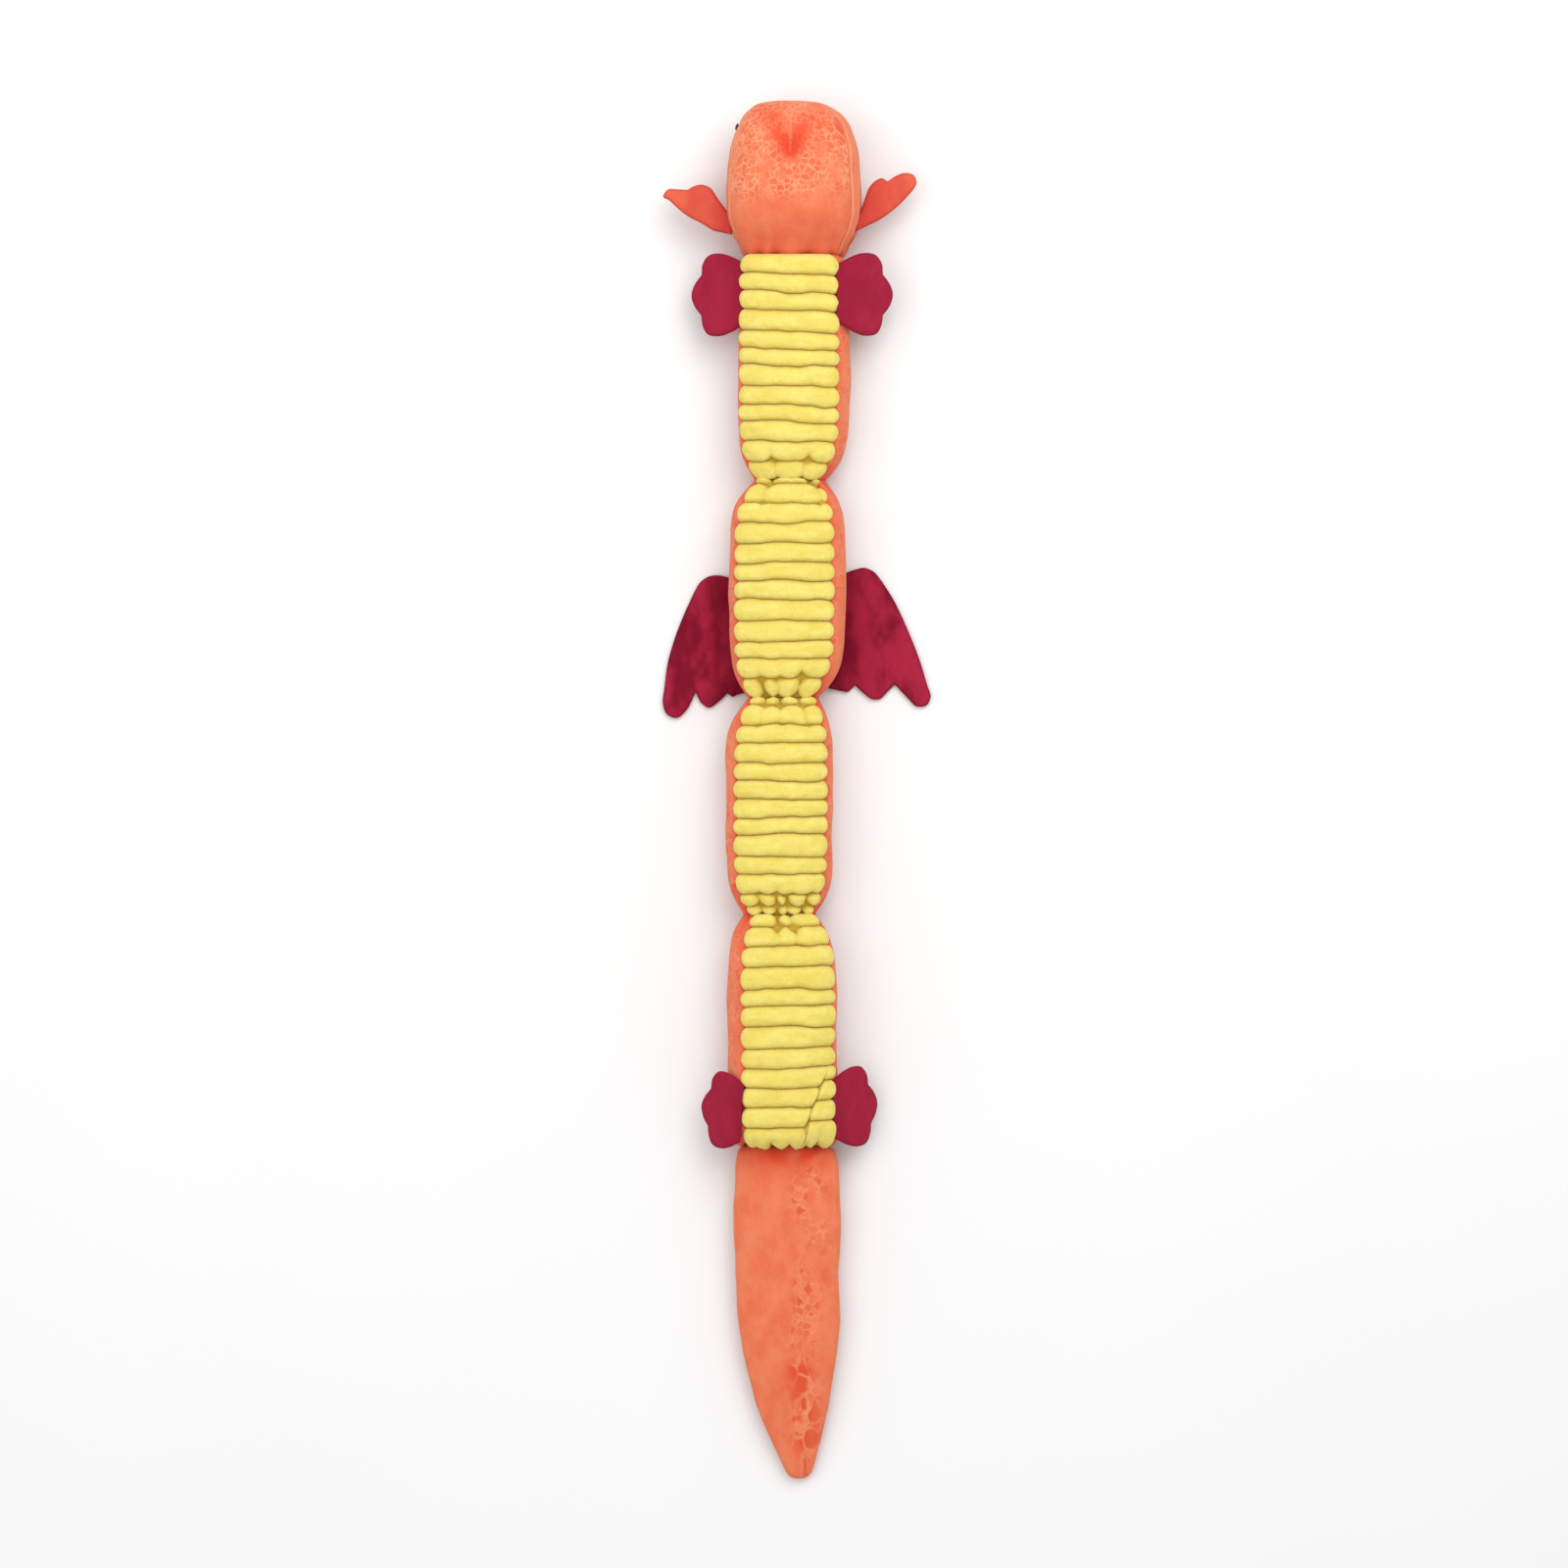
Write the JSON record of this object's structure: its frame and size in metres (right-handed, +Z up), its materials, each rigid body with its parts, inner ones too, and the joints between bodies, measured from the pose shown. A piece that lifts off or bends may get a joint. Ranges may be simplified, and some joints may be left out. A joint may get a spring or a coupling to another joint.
{
  "type": "segmented plush dragon toy",
  "caption": "Long soft toy dragon lying on its back: padded head, ribbed belly in pinched segments, flat paws, scalloped wings, ears and a tapering tail.",
  "frame": {"origin": "centre of the bounding box in plan, at the ground the toy lies on", "axes": "+Y along the toy from tail to head, +Z up out of the belly, +X to the right as seen from above with the head pointing away"},
  "size_m": [0.1948, 1, 0.0754],
  "materials": {
    "belly_cord_plush": "jumbo cord plush, soft pile in ribs across the belly",
    "scale_plush": "short plush printed with a scale pattern",
    "gathered_plush": "plush gathered into puckers, cord on the belly side",
    "ear_plush": "short plush",
    "paw_suede": "flat suede cloth, matte",
    "wing_plush": "short pile plush, brushed",
    "eye_thread": "satin embroidery",
    "fibre_filling": "loose polyester fibre",
    "squeaker_plastic": "soft translucent bladder",
    "reed_plastic": "hard moulded reed",
    "elastic_band": "woven elastic"
  },
  "bodies": {
    "segment_2": {"segment_2_belly_panel": "belly_cord_plush", "segment_2_back_panel": "scale_plush", "segment_2_filling": "fibre_filling", "segment_2_squeaker": "squeaker_plastic", "segment_2_squeaker_reed": "reed_plastic"},
    "waist_1": {"waist_1_gathers": "gathered_plush", "waist_1_elastic": "elastic_band"},
    "segment_1": {"segment_1_belly_panel": "belly_cord_plush", "segment_1_back_panel": "scale_plush", "segment_1_filling": "fibre_filling", "segment_1_squeaker": "squeaker_plastic", "segment_1_squeaker_reed": "reed_plastic"},
    "neck": {"neck_gathers": "scale_plush", "neck_elastic": "elastic_band"},
    "head": {"head_chin_panel": "scale_plush", "head_side_panel_right": "scale_plush", "head_side_panel_left": "scale_plush", "head_crown_panel": "scale_plush", "head_filling": "fibre_filling", "head_snout_panel": "scale_plush", "eye_left": "eye_thread", "eye_right": "eye_thread"},
    "waist_2": {"waist_2_gathers": "gathered_plush", "waist_2_elastic": "elastic_band"},
    "segment_3": {"segment_3_belly_panel": "belly_cord_plush", "segment_3_back_panel": "scale_plush", "segment_3_filling": "fibre_filling", "segment_3_squeaker": "squeaker_plastic", "segment_3_squeaker_reed": "reed_plastic"},
    "waist_3": {"waist_3_gathers": "gathered_plush", "waist_3_elastic": "elastic_band"},
    "segment_4": {"segment_4_belly_panel": "belly_cord_plush", "segment_4_back_panel": "scale_plush", "segment_4_filling": "fibre_filling", "segment_4_squeaker": "squeaker_plastic", "segment_4_squeaker_reed": "reed_plastic"},
    "tail_seam": {"tail_seam_gathers": "scale_plush", "tail_seam_tape": "elastic_band"},
    "tail": {"tail_upper_panel": "scale_plush", "tail_lower_panel": "scale_plush", "tail_filling": "fibre_filling"},
    "paw_front_left": {"paw_front_left_sole": "paw_suede", "paw_front_left_top": "paw_suede"},
    "paw_hind_left": {"paw_hind_left_sole": "paw_suede", "paw_hind_left_top": "paw_suede"},
    "ear_left": {"ear_left_back": "ear_plush", "ear_left_front": "ear_plush"},
    "wing_left": {"wing_left_lower": "wing_plush", "wing_left_padding": "fibre_filling", "wing_left_upper": "wing_plush"},
    "paw_front_right": {"paw_front_right_sole": "paw_suede", "paw_front_right_top": "paw_suede"},
    "paw_hind_right": {"paw_hind_right_sole": "paw_suede", "paw_hind_right_top": "paw_suede"},
    "ear_right": {"ear_right_back": "ear_plush", "ear_right_front": "ear_plush"},
    "wing_right": {"wing_right_lower": "wing_plush", "wing_right_padding": "fibre_filling", "wing_right_upper": "wing_plush"}
  },
  "joints": [
    {"name": "waist_1_pitch", "type": "hinge", "parent": "segment_2", "child": "waist_1", "pos_m": [-0.00448, 0.2265, 0.0255], "axis": [1, 0, 0], "range_deg": [-30, 30], "deforming": ["waist_1_gathers"]},
    {"name": "waist_1_yaw", "type": "hinge", "parent": "waist_1", "child": "segment_1", "pos_m": [-0.00448, 0.2265, 0.0255], "axis": [0, 0, 1], "range_deg": [-30, 30], "deforming": ["waist_1_gathers"]},
    {"name": "neck_pitch", "type": "hinge", "parent": "segment_1", "child": "neck", "pos_m": [-0.00168, 0.3885, 0.027], "axis": [1, 0, 0], "range_deg": [-18, 18], "deforming": ["neck_gathers"]},
    {"name": "neck_yaw", "type": "hinge", "parent": "neck", "child": "head", "pos_m": [-0.00168, 0.3885, 0.027], "axis": [0, 0, 1], "range_deg": [-8, 8], "deforming": ["neck_gathers"]},
    {"name": "waist_2_pitch", "type": "hinge", "parent": "segment_2", "child": "waist_2", "pos_m": [-0.00988, 0.069, 0.0255], "axis": [1, 0, 0], "range_deg": [-30, 30], "deforming": ["waist_2_gathers"]},
    {"name": "waist_2_yaw", "type": "hinge", "parent": "waist_2", "child": "segment_3", "pos_m": [-0.00988, 0.069, 0.0255], "axis": [0, 0, 1], "range_deg": [-20, 20], "deforming": ["waist_2_gathers"]},
    {"name": "waist_3_pitch", "type": "hinge", "parent": "segment_3", "child": "waist_3", "pos_m": [-0.01228, -0.088, 0.0255], "axis": [1, 0, 0], "range_deg": [-30, 30], "deforming": ["waist_3_gathers"]},
    {"name": "waist_3_yaw", "type": "hinge", "parent": "waist_3", "child": "segment_4", "pos_m": [-0.01228, -0.088, 0.0255], "axis": [0, 0, 1], "range_deg": [-30, 30], "deforming": ["waist_3_gathers"]},
    {"name": "tail_seam_pitch", "type": "hinge", "parent": "segment_4", "child": "tail_seam", "pos_m": [-0.00808, -0.256, 0.018], "axis": [1, 0, 0], "range_deg": [-18, 18], "deforming": ["tail_seam_gathers"]},
    {"name": "tail_seam_yaw", "type": "hinge", "parent": "tail_seam", "child": "tail", "pos_m": [-0.00808, -0.256, 0.018], "axis": [0, 0, 1], "range_deg": [-10, 10], "deforming": ["tail_seam_gathers"]},
    {"name": "paw_front_left_flap", "type": "hinge", "parent": "segment_1", "child": "paw_front_left", "pos_m": [-0.04087, 0.3605, 0.04], "axis": [0, 1, 0], "range_deg": [-12, 104], "stiffness_Nm_per_rad": 0.012},
    {"name": "paw_hind_left_flap", "type": "hinge", "parent": "segment_4", "child": "paw_hind_left", "pos_m": [-0.04113, -0.228, 0.04749], "axis": [0, 1, 0], "range_deg": [-2, 110], "stiffness_Nm_per_rad": 0.012},
    {"name": "ear_left_flap", "type": "hinge", "parent": "head", "child": "ear_left", "pos_m": [-0.05278, 0.4175, 0.038], "axis": [0, 1, 0], "range_deg": [-25, 60], "stiffness_Nm_per_rad": 0.012},
    {"name": "wing_left_flap", "type": "hinge", "parent": "segment_2", "child": "wing_left", "pos_m": [-0.04348, 0.115, 0.0034], "axis": [0, 1, 0], "range_deg": [-20, 48], "stiffness_Nm_per_rad": 0.01},
    {"name": "paw_front_right_flap", "type": "hinge", "parent": "segment_1", "child": "paw_front_right", "pos_m": [0.03139, 0.3605, 0.04689], "axis": [0, -1, 0], "range_deg": [-12, 104], "stiffness_Nm_per_rad": 0.012},
    {"name": "paw_hind_right_flap", "type": "hinge", "parent": "segment_4", "child": "paw_hind_right", "pos_m": [0.02826, -0.225, 0.03907], "axis": [0, -1, 0], "range_deg": [-2, 110], "stiffness_Nm_per_rad": 0.012},
    {"name": "ear_right_flap", "type": "hinge", "parent": "head", "child": "ear_right", "pos_m": [0.04902, 0.4175, 0.038], "axis": [0, -1, 0], "range_deg": [-25, 60], "stiffness_Nm_per_rad": 0.012},
    {"name": "wing_right_flap", "type": "hinge", "parent": "segment_2", "child": "wing_right", "pos_m": [0.03092, 0.115, 0.0034], "axis": [0, -1, 0], "range_deg": [-20, 48], "stiffness_Nm_per_rad": 0.01}
  ]
}
